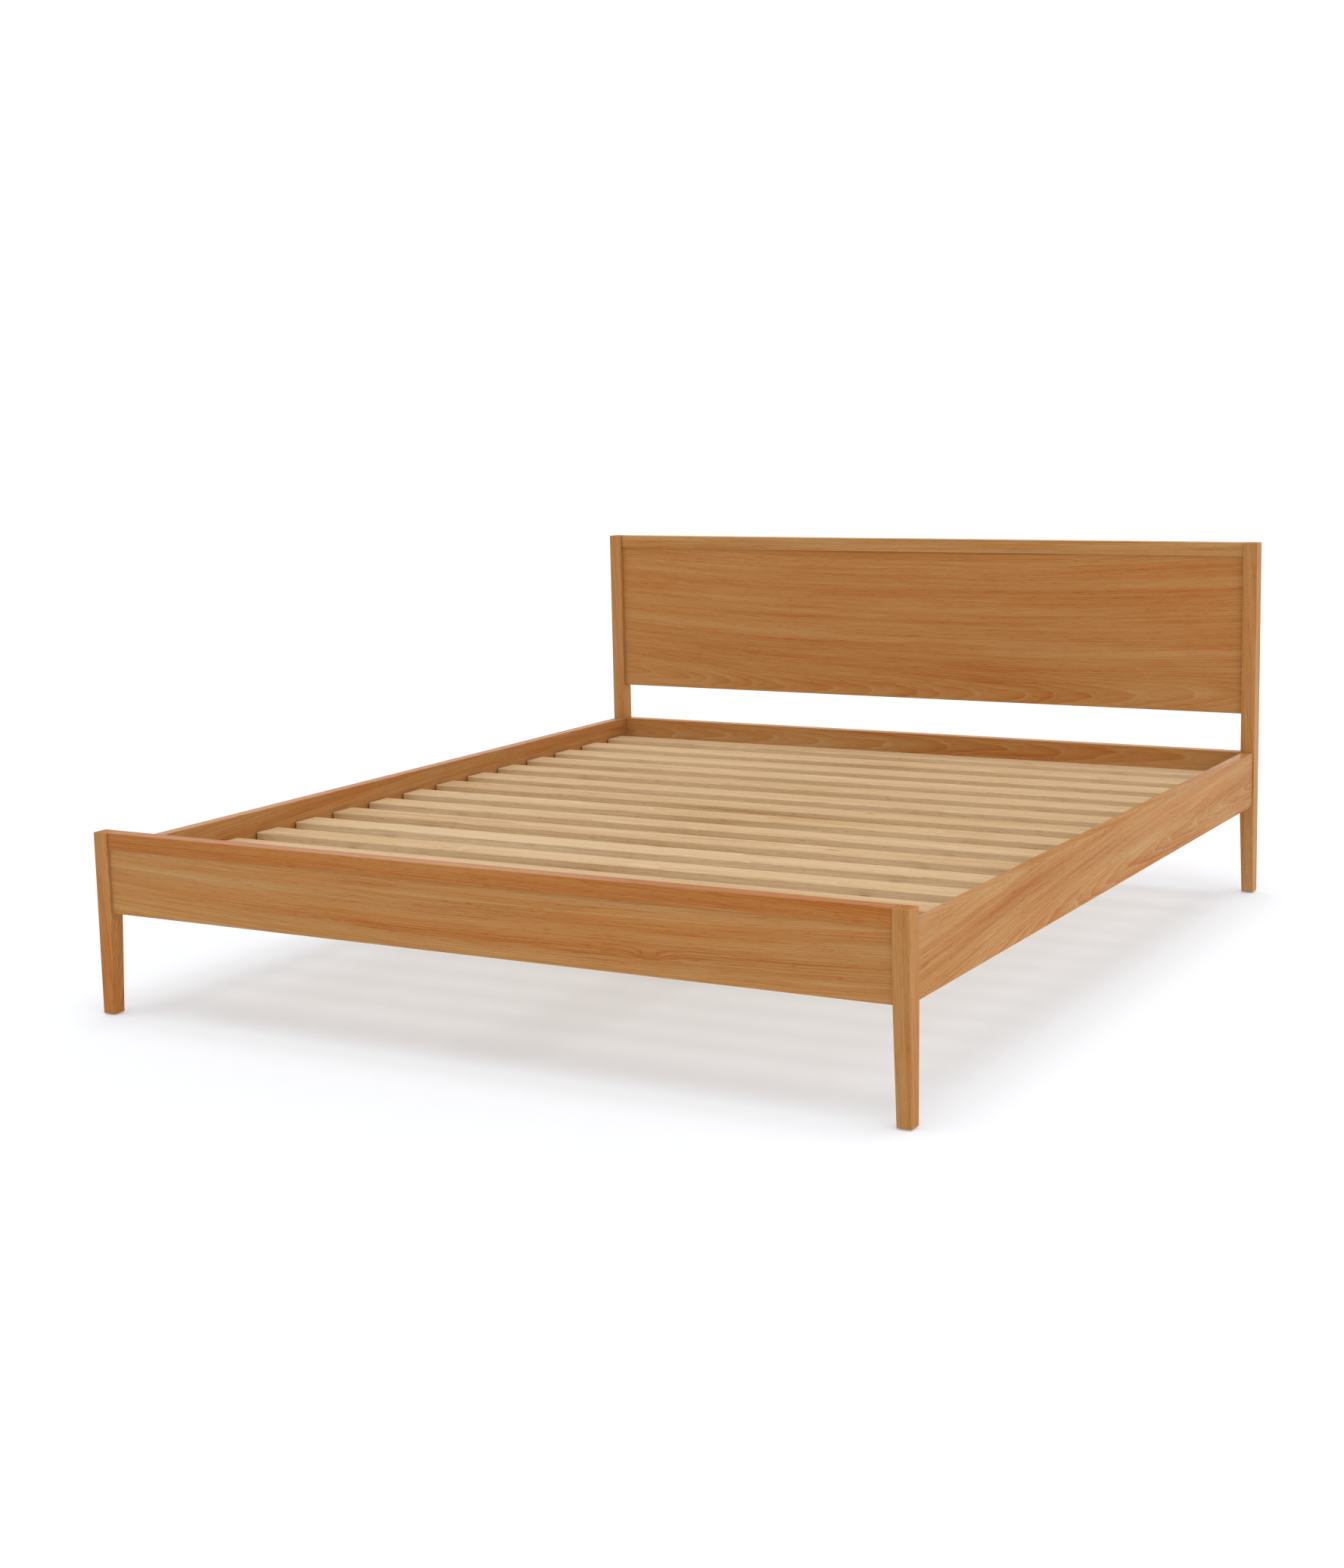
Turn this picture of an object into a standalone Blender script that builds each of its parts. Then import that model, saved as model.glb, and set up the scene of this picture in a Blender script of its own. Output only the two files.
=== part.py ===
"""Wooden bed frame for a 1829 x 2134 mm mattress, as the pieces it comes apart into.

Units are metres, +Z is up. The origin is on the floor under the middle of the frame,
-Y is the foot end, +Y is the head end, and "left" is -X, as seen from the foot.
"""
import math

import bmesh
import bpy

# ---------------------------------------------------------------- driving dimensions
WIDTH = 1.911               # over the posts' outer faces
LENGTH = 2.233              # foot posts' front to head posts' back
GLIDE = 0.0025              # thickness of the pads under the posts
FOOT_TOP = 0.4035           # top of the foot posts
HEAD_TOP = 0.9065           # top of the head posts
POST_WIDTH = 0.036
FOOT_POST_DEPTH = 0.0385
HEAD_POST_DEPTH = 0.0405
POST_TAPER = 0.006          # how much each inner face comes in at the floor
TAPER_DROP = 0.004          # the taper starts this far below the side rails
RAIL_TOP = 0.3680
RAIL_BOTTOM = 0.2295
RAIL_THICKNESS = 0.0297
RAIL_INSET = 0.004          # side rails' outer face behind the posts' outer face
CAP_HEIGHT = 0.0355         # band along the top of the footboard and headboard
FOOT_CAP_SETBACK = 0.003
HEAD_CAP_SETBACK = 0.006
PANEL_THICKNESS = 0.018
FOOT_PANEL_SETBACK = 0.007
HEAD_PANEL_SETBACK = 0.010
FOOT_PANEL_BOTTOM = 0.2260
HEAD_PANEL_BOTTOM = 0.4675
CROSS_RAIL_THICKNESS = 0.030
CROSS_RAIL_SETBACK = 0.003  # its back face in front of the head posts' back

SLATS = 15
SLAT_WIDTH = 0.075
SLAT_THICKNESS = 0.018
SLAT_PITCH = 0.145
SLAT_TOP = 0.3200
SLAT_END_ROOM = 0.003       # between a slat's end and the side rail
LEDGER = 0.030              # square strip that carries the slats' ends
LEDGER_END_ROOM = 0.010     # between a ledger's end and the post
STRAP_WIDTH = 0.025
STRAP_THICKNESS = 0.0012
STRAP_X = 0.640
BEAM_WIDTH = 0.040
BEAM_HEIGHT = 0.070
LEG_WIDTH = 0.040
LEG_BOTTOM = 0.0225
LEG_SPACING = 0.600         # between the two support legs

GAP = 0.0003                # clearance between pieces that touch
RUN_OUT = 0.005             # how far a cutter runs on past the face it cuts
BORE_END = 0.001            # how much deeper a bore is than what goes in it
TENON = 0.010               # how far panels and tenons enter the posts
TENON_ROOT = 0.010          # how far a tenon's shape starts inside its board
TONGUE = 0.006              # how far a panel's top enters its band
EASED = 0.0012              # rounding of the show wood's edges
SAWN = 0.0020               # rounding of the slats' edges

# ---------------------------------------------------------------- derived positions
HALF = WIDTH / 2
POST_INNER = HALF - POST_WIDTH
Y_FOOT = -LENGTH / 2
Y_HEAD = LENGTH / 2
FOOT_POST_BACK = Y_FOOT + FOOT_POST_DEPTH
HEAD_POST_FRONT = Y_HEAD - HEAD_POST_DEPTH
FOOT_PANEL_FRONT = Y_FOOT + FOOT_PANEL_SETBACK
FOOT_PANEL_BACK = FOOT_PANEL_FRONT + PANEL_THICKNESS
HEAD_PANEL_FRONT = HEAD_POST_FRONT + HEAD_PANEL_SETBACK
HEAD_PANEL_BACK = HEAD_PANEL_FRONT + PANEL_THICKNESS
CROSS_BACK = Y_HEAD - CROSS_RAIL_SETBACK
CROSS_FRONT = CROSS_BACK - CROSS_RAIL_THICKNESS
RAIL_OUTER = HALF - RAIL_INSET
RAIL_INNER = RAIL_OUTER - RAIL_THICKNESS
RAIL_MIDDLE = (RAIL_OUTER + RAIL_INNER) / 2
SLAT_BOTTOM = SLAT_TOP - SLAT_THICKNESS
BEAM_TOP = SLAT_BOTTOM - GAP
BEAM_BOTTOM = BEAM_TOP - BEAM_HEIGHT


# ---------------------------------------------------------------- scene and materials
def empty_scene():
    for old in list(bpy.data.objects):
        bpy.data.objects.remove(old, do_unlink=True)


def collection(name):
    made = bpy.data.collections.new(name)
    bpy.context.scene.collection.children.link(made)
    return made


def material(name, colour, roughness, metallic=0.0):
    made = bpy.data.materials.new(name)
    made.use_nodes = True
    shader = made.node_tree.nodes["Principled BSDF"]
    shader.inputs["Base Color"].default_value = (*colour, 1.0)
    shader.inputs["Roughness"].default_value = roughness
    shader.inputs["Metallic"].default_value = metallic
    return made


empty_scene()
PARTS = collection("bed_frame")
CUTTERS = collection("cutters")
SHOW_WOOD = ("show_wood", (0.42, 0.17, 0.055), 0.42, 0.0)
SLAT_WOOD = ("slat_wood", (0.62, 0.44, 0.25), 0.60, 0.0)
STEEL = ("zinc_steel", (0.55, 0.55, 0.56), 0.35, 1.0)
NYLON = ("nylon", (0.70, 0.68, 0.63), 0.50, 0.0)
WEBBING = ("webbing", (0.75, 0.73, 0.68), 0.90, 0.0)


# ---------------------------------------------------------------- modelling helpers
def place(mesh, name, finish=None):
    """Make an object from a mesh: a sub-part if it has a finish, otherwise a cutter."""
    made = bpy.data.objects.new(name, mesh)
    if finish:
        PARTS.objects.link(made)
        kind, colour, roughness, metallic = finish
        mesh.materials.append(material(f"{kind}_{name}", colour, roughness, metallic))
    else:
        CUTTERS.objects.link(made)
        made.hide_render = True
        made.display_type = "WIRE"
    return made


def cube_mesh(name, boxes):
    """A mesh of one or more separate boxes, each given by its low and high corners."""
    mesh = bpy.data.meshes.new(name)
    shape = bmesh.new()
    for low, high in boxes:
        corners = bmesh.ops.create_cube(shape, size=1.0)["verts"]
        for vertex in corners:
            for axis in range(3):
                middle = (low[axis] + high[axis]) / 2
                vertex.co[axis] = middle + vertex.co[axis] * (high[axis] - low[axis])
    shape.to_mesh(mesh)
    shape.free()
    return mesh


def bevel(piece, width, segments=1):
    rounding = piece.modifiers.new("eased_edges", "BEVEL")
    rounding.width = width
    rounding.segments = segments
    rounding.limit_method = "ANGLE"


def board(name, low, high, finish=SHOW_WOOD, eased=EASED, segments=2):
    piece = place(cube_mesh(name, [(low, high)]), name, finish)
    if eased:
        bevel(piece, eased, segments)
    return piece


def boolean(piece, tool, operation):
    step = piece.modifiers.new(operation.lower(), "BOOLEAN")
    step.operation = operation
    step.solver = "EXACT"
    step.object = tool


def cut_boxes(piece, label, boxes):
    boolean(piece, place(cube_mesh(label, boxes), f"cut_{piece.name}_{label}"), "DIFFERENCE")


def add_box(piece, label, low, high):
    tool = place(cube_mesh(label, [(low, high)]), f"join_{piece.name}_{label}")
    boolean(piece, tool, "UNION")


def turn(piece, steps):
    """Revolve a profile about its own Z axis."""
    screw = piece.modifiers.new("turned", "SCREW")
    screw.steps = steps
    screw.render_steps = steps
    screw.use_merge_vertices = True
    screw.merge_threshold = 0.00001


def profile_mesh(name, outline, closed=False, grow=0.0):
    """Edges through (radius, height) points that are listed from the bottom up.

    An outline starts and ends on the axis, or is closed and stays clear of it. The Screw
    modifier needs the outer side to run from the top down, so the points are reversed.
    """
    points = [(radius + grow if radius > 0 else 0.0, 0.0, height)
              for radius, height in reversed(outline)]
    edges = [(index, index + 1) for index in range(len(points) - 1)]
    if closed:
        edges.append((len(points) - 1, 0))
    mesh = bpy.data.meshes.new(name)
    mesh.from_pydata(points, edges, [])
    return mesh


def turned(name, outline, at, finish=STEEL, steps=16, tilt=0.0, closed=False):
    """A turned piece standing at a point; tilt turns it about X, away from +Z."""
    piece = place(profile_mesh(name, outline, closed), name, finish)
    turn(piece, steps)
    piece.location = at
    piece.rotation_euler = (tilt, 0.0, 0.0)


def bore(piece, label, outline, at, steps=16, tilt=0.0):
    tool = place(profile_mesh(label, outline, grow=GAP), f"bore_{piece.name}_{label}")
    turn(tool, steps)
    tool.location = at
    tool.rotation_euler = (tilt, 0.0, 0.0)
    boolean(piece, tool, "DIFFERENCE")


SCREW_STEPS = 12            # sides of a screw, a nail and their bores


def rod_profile(radius, low, high):
    return [(0.0, low), (radius, low), (radius, high), (0.0, high)]


def side_name(side):
    return "left" if side < 0 else "right"


def end_name(end):
    return "foot" if end < 0 else "head"


# ---------------------------------------------------------------- corner hardware sizes
PLATE_WIDTH = 0.016
PLATE_HEIGHT = 0.100
PLATE_THICKNESS = 0.003
PLATE_Z = (RAIL_TOP + RAIL_BOTTOM) / 2
HOOK_Z = (-0.030, 0.030)    # the two hooks, from the plate's middle
HOOK_THICKNESS = 0.003
HOOK_REACH = 0.009          # from the rail's end into the post
HOOK_NECK = (-0.003, 0.006)
HOOK_DROP = -0.010          # lower tip of the hook, behind the slotted plate
HOOK_ROOM = 0.0006          # around a hook in its pocket
LIP_INSET = 0.0002          # how much smaller the hook's lip is than its neck
LIFT = 0.0075               # how far the rail is raised to unhook it


def across(face, direction, depth_a, depth_b):
    """Two Y values measured into a piece from its face, in ascending order."""
    ends = (face + direction * depth_a, face + direction * depth_b)
    return min(ends), max(ends)


# ---------------------------------------------------------------- posts
GLIDE_RADIUS = 0.011
GLIDE_EDGE = 0.0008         # chamfer round the pad's underside
NAIL_RADIUS = 0.00125
NAIL_LENGTH = 0.012
NAIL_POINT = 0.002


def tapered_mesh(name, side, end, top, y_low, y_high):
    """Square post whose two inner faces come in below the side rail."""
    x_low, x_high = sorted((side * HALF, side * POST_INNER))
    mesh = cube_mesh(name, [((x_low, y_low, GLIDE), (x_high, y_high, top))])
    shape = bmesh.new()
    shape.from_mesh(mesh)
    everything = shape.verts[:] + shape.edges[:] + shape.faces[:]
    bmesh.ops.bisect_plane(shape, geom=everything, plane_co=(0, 0, RAIL_BOTTOM - TAPER_DROP),
                           plane_no=(0, 0, 1))
    for vertex in shape.verts:
        if vertex.co.z > GLIDE + GAP:
            continue
        if abs(vertex.co.x) < HALF - POST_WIDTH / 2:
            vertex.co.x += side * POST_TAPER
        if abs(vertex.co.y) < LENGTH / 2 - POST_WIDTH / 2:
            vertex.co.y += end * POST_TAPER
    shape.to_mesh(mesh)
    shape.free()
    return mesh


def glide_at(side, end):
    """Middle of a post's tapered bottom."""
    depth = FOOT_POST_DEPTH if end < 0 else HEAD_POST_DEPTH
    x = side * (HALF - (POST_WIDTH - POST_TAPER) / 2)
    y = end * (LENGTH / 2 - (depth - POST_TAPER) / 2)
    return x, y


def make_post(side, end):
    name = f"{end_name(end)}_post_{side_name(side)}"
    top = FOOT_TOP if end < 0 else HEAD_TOP
    y_low, y_high = (Y_FOOT, FOOT_POST_BACK) if end < 0 else (HEAD_POST_FRONT, Y_HEAD)
    post = place(tapered_mesh(name, side, end, top, y_low, y_high), name, SHOW_WOOD)
    bevel(post, EASED, 2)

    reach = POST_INNER + TENON + GAP
    inside = POST_INNER - RUN_OUT
    x_low, x_high = sorted((side * inside, side * reach))

    def mortise(y_a, y_b, z_a, z_b):
        return (x_low, y_a - GAP, z_a - GAP), (x_high, y_b + GAP, z_b + GAP)

    if end < 0:
        housings = [mortise(FOOT_PANEL_FRONT, FOOT_PANEL_BACK, FOOT_PANEL_BOTTOM,
                            FOOT_TOP - CAP_HEIGHT + TONGUE),
                    mortise(*cap_tenon_y(end), *cap_tenon_z(end))]
    else:
        housings = [mortise(HEAD_PANEL_FRONT, HEAD_PANEL_BACK, HEAD_PANEL_BOTTOM,
                            HEAD_TOP - CAP_HEIGHT + TONGUE),
                    mortise(*cap_tenon_y(end), *cap_tenon_z(end)),
                    mortise(*cross_tenon_y(), *cross_tenon_z())]
    cut_boxes(post, "housings", housings)

    face = FOOT_POST_BACK if end < 0 else HEAD_POST_FRONT
    x_plate = side * RAIL_MIDDLE
    plate_y = across(face, end, -RUN_OUT, PLATE_THICKNESS + GAP)
    cut_boxes(post, "plate_seat", [
        ((x_plate - PLATE_WIDTH / 2 - GAP, plate_y[0], PLATE_Z - PLATE_HEIGHT / 2 - GAP),
         (x_plate + PLATE_WIDTH / 2 + GAP, plate_y[1], PLATE_Z + PLATE_HEIGHT / 2 + GAP))])
    pocket_y = across(face, end, -RUN_OUT, HOOK_REACH + HOOK_ROOM)
    half_pocket = HOOK_THICKNESS / 2 + HOOK_ROOM
    cut_boxes(post, "hook_pockets", [
        ((x_plate - half_pocket, pocket_y[0], PLATE_Z + z + HOOK_DROP - HOOK_ROOM),
         (x_plate + half_pocket, pocket_y[1], PLATE_Z + z + HOOK_NECK[1] + LIFT))
        for z in HOOK_Z])

    x, y = glide_at(side, end)
    bore(post, "nail", rod_profile(NAIL_RADIUS, 0.0, NAIL_LENGTH + NAIL_POINT + BORE_END),
         (x, y, 0.0), SCREW_STEPS)


def make_glide(side, end):
    """Nailed nylon pad under a post."""
    x, y = glide_at(side, end)
    pad = GLIDE - GAP / 2
    outline = [(0.0, 0.0), (GLIDE_RADIUS - GLIDE_EDGE, 0.0), (GLIDE_RADIUS, GLIDE_EDGE),
               (GLIDE_RADIUS, pad), (NAIL_RADIUS, pad), (NAIL_RADIUS, NAIL_LENGTH),
               (0.0, NAIL_LENGTH + NAIL_POINT)]
    turned(f"glide_{end_name(end)}_{side_name(side)}", outline, (x, y, 0.0), NYLON)


# ---------------------------------------------------------------- footboard and headboard
CAP_TENON_THICKNESS = 0.014
CAP_TENON_HEIGHT = 0.018
CAP_TENON_DROP = 0.008      # top of the tenon below the band's top
CROSS_TENON_THICKNESS = 0.012
CROSS_TENON_HEIGHT = 0.100


def cap_y(end):
    """Front and back faces of the band along a board's top."""
    if end < 0:
        return Y_FOOT + FOOT_CAP_SETBACK, FOOT_POST_BACK
    return HEAD_POST_FRONT + HEAD_CAP_SETBACK, Y_HEAD


def cap_tenon_y(end):
    middle = sum(cap_y(end)) / 2
    return middle - CAP_TENON_THICKNESS / 2, middle + CAP_TENON_THICKNESS / 2


def cap_tenon_z(end):
    top = FOOT_TOP if end < 0 else HEAD_TOP
    return top - CAP_TENON_DROP - CAP_TENON_HEIGHT, top - CAP_TENON_DROP


def cross_tenon_y():
    middle = (CROSS_FRONT + CROSS_BACK) / 2
    return middle - CROSS_TENON_THICKNESS / 2, middle + CROSS_TENON_THICKNESS / 2


def cross_tenon_z():
    return PLATE_Z - CROSS_TENON_HEIGHT / 2, PLATE_Z + CROSS_TENON_HEIGHT / 2


def add_tenons(piece, y_pair, z_pair):
    """A stub tenon on each end of a board that runs between two posts."""
    for side in (-1, 1):
        x_low, x_high = sorted((side * (POST_INNER - TENON_ROOT), side * (POST_INNER + TENON)))
        add_box(piece, f"tenon_{side_name(side)}",
                (x_low, y_pair[0], z_pair[0]), (x_high, y_pair[1], z_pair[1]))


def make_panel(end):
    """Wide board, its ends let into the posts and its top edge into the band."""
    if end < 0:
        y_low, y_high, bottom, top = FOOT_PANEL_FRONT, FOOT_PANEL_BACK, FOOT_PANEL_BOTTOM, FOOT_TOP
    else:
        y_low, y_high, bottom, top = HEAD_PANEL_FRONT, HEAD_PANEL_BACK, HEAD_PANEL_BOTTOM, HEAD_TOP
    reach = POST_INNER + TENON
    return board(f"{end_name(end)}_panel", (-reach, y_low, bottom),
                 (reach, y_high, top - CAP_HEIGHT + TONGUE))


def make_cap(end):
    top = FOOT_TOP if end < 0 else HEAD_TOP
    y_low, y_high = cap_y(end)
    reach = POST_INNER - GAP
    cap = board(f"{end_name(end)}_cap_rail", (-reach, y_low, top - CAP_HEIGHT),
                (reach, y_high, top))
    front, back = ((FOOT_PANEL_FRONT, FOOT_PANEL_BACK) if end < 0
                   else (HEAD_PANEL_FRONT, HEAD_PANEL_BACK))
    cut_boxes(cap, "groove", [((-reach - RUN_OUT, front - GAP, top - CAP_HEIGHT - RUN_OUT),
                               (reach + RUN_OUT, back + GAP, top - CAP_HEIGHT + TONGUE + GAP))])
    add_tenons(cap, cap_tenon_y(end), cap_tenon_z(end))


def make_cross_rail():
    reach = POST_INNER - GAP
    rail = board("head_cross_rail", (-reach, CROSS_FRONT, RAIL_BOTTOM),
                 (reach, CROSS_BACK, RAIL_TOP))
    add_tenons(rail, cross_tenon_y(), cross_tenon_z())
    return rail


# ---------------------------------------------------------------- side rails and hardware
def make_side_rail(side):
    x_low, x_high = sorted((side * RAIL_INNER, side * RAIL_OUTER))
    rail = board(f"side_rail_{side_name(side)}", (x_low, FOOT_POST_BACK + GAP, RAIL_BOTTOM),
                 (x_high, HEAD_POST_FRONT - GAP, RAIL_TOP))
    seats = []
    for face, end in ((FOOT_POST_BACK, -1), (HEAD_POST_FRONT, 1)):
        y_low, y_high = across(face, end, -PLATE_THICKNESS - 2 * GAP, RUN_OUT)
        x = side * RAIL_MIDDLE
        seats.append(((x - PLATE_WIDTH / 2 - GAP, y_low, PLATE_Z - PLATE_HEIGHT / 2 - GAP),
                      (x + PLATE_WIDTH / 2 + GAP, y_high, PLATE_Z + PLATE_HEIGHT / 2 + GAP)))
    cut_boxes(rail, "plate_seats", seats)


def make_hook_plate(side, end):
    """Steel plate in the rail's end, with two hooks that drop behind the slotted plate."""
    name = f"rail_hook_{end_name(end)}_{side_name(side)}"
    face = FOOT_POST_BACK if end < 0 else HEAD_POST_FRONT
    x = side * RAIL_MIDDLE
    y_low, y_high = across(face, end, -PLATE_THICKNESS - GAP, -GAP)
    plate = board(name, (x - PLATE_WIDTH / 2, y_low, PLATE_Z - PLATE_HEIGHT / 2),
                  (x + PLATE_WIDTH / 2, y_high, PLATE_Z + PLATE_HEIGHT / 2), STEEL, 0.0)
    half = HOOK_THICKNESS / 2
    for label, z in zip(("lower", "upper"), HOOK_Z):
        neck_y = across(face, end, -PLATE_THICKNESS / 2, HOOK_REACH)
        add_box(plate, f"{label}_neck", (x - half, neck_y[0], PLATE_Z + z + HOOK_NECK[0]),
                (x + half, neck_y[1], PLATE_Z + z + HOOK_NECK[1]))
        lip_y = across(face, end, PLATE_THICKNESS + 2 * GAP, HOOK_REACH - LIP_INSET)
        lip_half = half - LIP_INSET / 2
        add_box(plate, f"{label}_lip", (x - lip_half, lip_y[0], PLATE_Z + z + HOOK_DROP),
                (x + lip_half, lip_y[1], PLATE_Z + z + HOOK_NECK[1] - LIP_INSET))


def make_slot_plate(side, end):
    """Steel plate let into the post, with a tall slot for each hook."""
    name = f"post_slot_plate_{end_name(end)}_{side_name(side)}"
    face = FOOT_POST_BACK if end < 0 else HEAD_POST_FRONT
    x = side * RAIL_MIDDLE
    y_low, y_high = across(face, end, 0.0, PLATE_THICKNESS)
    plate = board(name, (x - PLATE_WIDTH / 2, y_low, PLATE_Z - PLATE_HEIGHT / 2),
                  (x + PLATE_WIDTH / 2, y_high, PLATE_Z + PLATE_HEIGHT / 2), STEEL, 0.0)
    half = HOOK_THICKNESS / 2 + GAP
    cut_boxes(plate, "slots", [
        ((x - half, y_low - RUN_OUT, PLATE_Z + z + HOOK_NECK[0] - GAP),
         (x + half, y_high + RUN_OUT, PLATE_Z + z + HOOK_NECK[1] + LIFT)) for z in HOOK_Z])


# ---------------------------------------------------------------- screws
SHANK_RADIUS = 0.0020
SLAT_SCREW_LENGTH = 0.038
HANGER_SCREW_LENGTH = 0.014
COUNTERSUNK = [(0.0, -SLAT_SCREW_LENGTH), (SHANK_RADIUS, 0.003 - SLAT_SCREW_LENGTH),
               (SHANK_RADIUS, -0.0022), (0.0042, -0.0002), (0.0042, 0.0), (0.0, 0.0)]
PAN_HEAD = [(0.0, -HANGER_SCREW_LENGTH), (SHANK_RADIUS, 0.002 - HANGER_SCREW_LENGTH),
            (SHANK_RADIUS, 0.0), (0.0040, 0.0), (0.0038, 0.0014), (0.0022, 0.0023), (0.0, 0.0024)]


def make_slat_screws(slats, ledgers):
    """A countersunk screw through each end of the first and last slat."""
    for end, slat in ((-1, slats[0]), (1, slats[-1])):
        for side in (-1, 1):
            at = (side * (RAIL_INNER - LEDGER / 2), slat_y(0 if end < 0 else SLATS - 1), SLAT_TOP)
            label = f"{end_name(end)}_{side_name(side)}"
            turned(f"slat_screw_{label}", COUNTERSUNK, at, steps=SCREW_STEPS)
            bore(slat, label, COUNTERSUNK, at, SCREW_STEPS)
            pilot = rod_profile(SHANK_RADIUS, -SLAT_SCREW_LENGTH - BORE_END, -SLAT_THICKNESS / 2)
            bore(ledgers[side], label, pilot, at, SCREW_STEPS)


# ---------------------------------------------------------------- deck
def slat_y(index):
    deck_middle = (FOOT_PANEL_BACK + CROSS_FRONT) / 2
    return deck_middle + (index - (SLATS - 1) / 2) * SLAT_PITCH


def make_ledger(side):
    x_low, x_high = sorted((side * (RAIL_INNER - GAP - LEDGER), side * (RAIL_INNER - GAP)))
    return board(f"slat_ledger_{side_name(side)}",
                 (x_low, FOOT_POST_BACK + LEDGER_END_ROOM, SLAT_BOTTOM - GAP - LEDGER),
                 (x_high, HEAD_POST_FRONT - LEDGER_END_ROOM, SLAT_BOTTOM - GAP), SLAT_WOOD)


def make_slat(index):
    half_length = RAIL_INNER - SLAT_END_ROOM
    y = slat_y(index)
    return board(f"slat_{index + 1:02d}", (-half_length, y - SLAT_WIDTH / 2, SLAT_BOTTOM),
                 (half_length, y + SLAT_WIDTH / 2, SLAT_TOP), SLAT_WOOD, SAWN, 1)


def make_strap(side):
    """Webbing stapled under the slats, from the first to the last."""
    x = side * STRAP_X
    top = SLAT_BOTTOM - GAP
    low = (x - STRAP_WIDTH / 2, slat_y(0) - SLAT_WIDTH / 3, top - STRAP_THICKNESS)
    high = (x + STRAP_WIDTH / 2, slat_y(SLATS - 1) + SLAT_WIDTH / 3, top)
    board(f"slat_strap_{side_name(side)}", low, high, WEBBING, 0.0)


# ---------------------------------------------------------------- centre beam and legs
HANGER_SHEET = 0.0025
HANGER_DEPTH = 0.030
HANGER_HEIGHT = 0.055
HANGER_EARS = 0.080         # width of the stirrup's back plate
HANGER_LIP = 0.004          # how far the back plate stands above the cup
HANGER_SCREW_EDGE = 0.008   # screw's middle to the back plate's edge
HANGER_FIT = 0.0005         # clearance round the beam's end
LEG_TENON = 0.020
INSERT_DEPTH = 0.014
INSERT_OUTER = 0.0056
INSERT_FLANGE = 0.0090      # radius of the rim under the leg
INSERT_RIM = 0.0015         # and its thickness
STEM_RADIUS = 0.0040
STEM_CLEARANCE = 0.00035
STEM_TOP = 0.045
STEM_CHAMFER = 0.001
LEG_BORE_DEPTH = 0.047
PAD_RADIUS = 0.015
PAD_HEIGHT = 0.007
PAD_EDGE = 0.001            # chamfer round the pad's underside
PAD_SLOPE = (0.004, 0.003)  # the shoulder round its top: inwards and down
LEVELLER_STEPS = 20         # sides of the round parts of a leg's foot


def make_hanger(end, board_behind):
    """Folded steel stirrup, screwed to the board behind the beam's end."""
    face = FOOT_PANEL_BACK + GAP if end < 0 else CROSS_FRONT - GAP
    bottom = BEAM_BOTTOM - GAP - HANGER_SHEET
    half_cup = BEAM_WIDTH / 2 + HANGER_FIT + HANGER_SHEET
    plate_y = across(face, -end, 0.0, HANGER_SHEET)
    name = f"beam_hanger_{end_name(end)}"
    hanger = board(name, (-HANGER_EARS / 2, plate_y[0], bottom),
                   (HANGER_EARS / 2, plate_y[1], bottom + HANGER_HEIGHT), STEEL, 0.0)
    cup_y = across(face, -end, HANGER_SHEET / 2, HANGER_DEPTH)
    add_box(hanger, "cup", (-half_cup, cup_y[0], bottom),
            (half_cup, cup_y[1], bottom + HANGER_HEIGHT - HANGER_LIP))
    room_y = across(face, -end, HANGER_SHEET, HANGER_DEPTH + RUN_OUT)
    room = BEAM_WIDTH / 2 + HANGER_FIT
    cut_boxes(hanger, "room", [((-room, room_y[0], bottom + HANGER_SHEET),
                                (room, room_y[1], bottom + HANGER_HEIGHT + RUN_OUT))])
    tilt = math.radians(90) * (1 if end > 0 else -1)
    for side in (-1, 1):
        at = (side * (HANGER_EARS / 2 - HANGER_SCREW_EDGE), face - end * (HANGER_SHEET + GAP),
              bottom + HANGER_HEIGHT / 2)
        label = f"{end_name(end)}_{side_name(side)}"
        turned(f"hanger_screw_{label}", PAN_HEAD, at, steps=SCREW_STEPS, tilt=tilt)
        hole = rod_profile(SHANK_RADIUS, -HANGER_SCREW_LENGTH - BORE_END, RUN_OUT)
        bore(hanger, label, hole, at, SCREW_STEPS, tilt)
        bore(board_behind, label, hole, at, SCREW_STEPS, tilt)


def make_beam():
    clear = HANGER_SHEET + 2 * GAP + HANGER_FIT
    beam = board("centre_beam", (-BEAM_WIDTH / 2, FOOT_PANEL_BACK + clear, BEAM_BOTTOM),
                 (BEAM_WIDTH / 2, CROSS_FRONT - clear, BEAM_TOP), SLAT_WOOD, SAWN, 1)
    half = LEG_TENON / 2 + GAP
    cut_boxes(beam, "mortises", [
        ((-half, leg_y(end) - half, BEAM_BOTTOM - RUN_OUT),
         (half, leg_y(end) + half, BEAM_BOTTOM + LEG_TENON + GAP)) for end in (-1, 1)])


def leg_y(end):
    return end * LEG_SPACING / 2


def make_support_leg(end):
    """Square leg with a stub tenon on top and a bored foot."""
    half = LEG_WIDTH / 2
    y = leg_y(end)
    top = BEAM_BOTTOM - GAP
    leg = board(f"support_leg_{end_name(end)}", (-half, y - half, LEG_BOTTOM),
                (half, y + half, top), SLAT_WOOD)
    half_tenon = LEG_TENON / 2
    add_box(leg, "tenon", (-half_tenon, y - half_tenon, top - TENON_ROOT),
            (half_tenon, y + half_tenon, top + LEG_TENON))
    bore(leg, "foot", rod_profile(INSERT_OUTER, -RUN_OUT, LEG_BORE_DEPTH), (0, y, LEG_BOTTOM),
         LEVELLER_STEPS)


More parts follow.
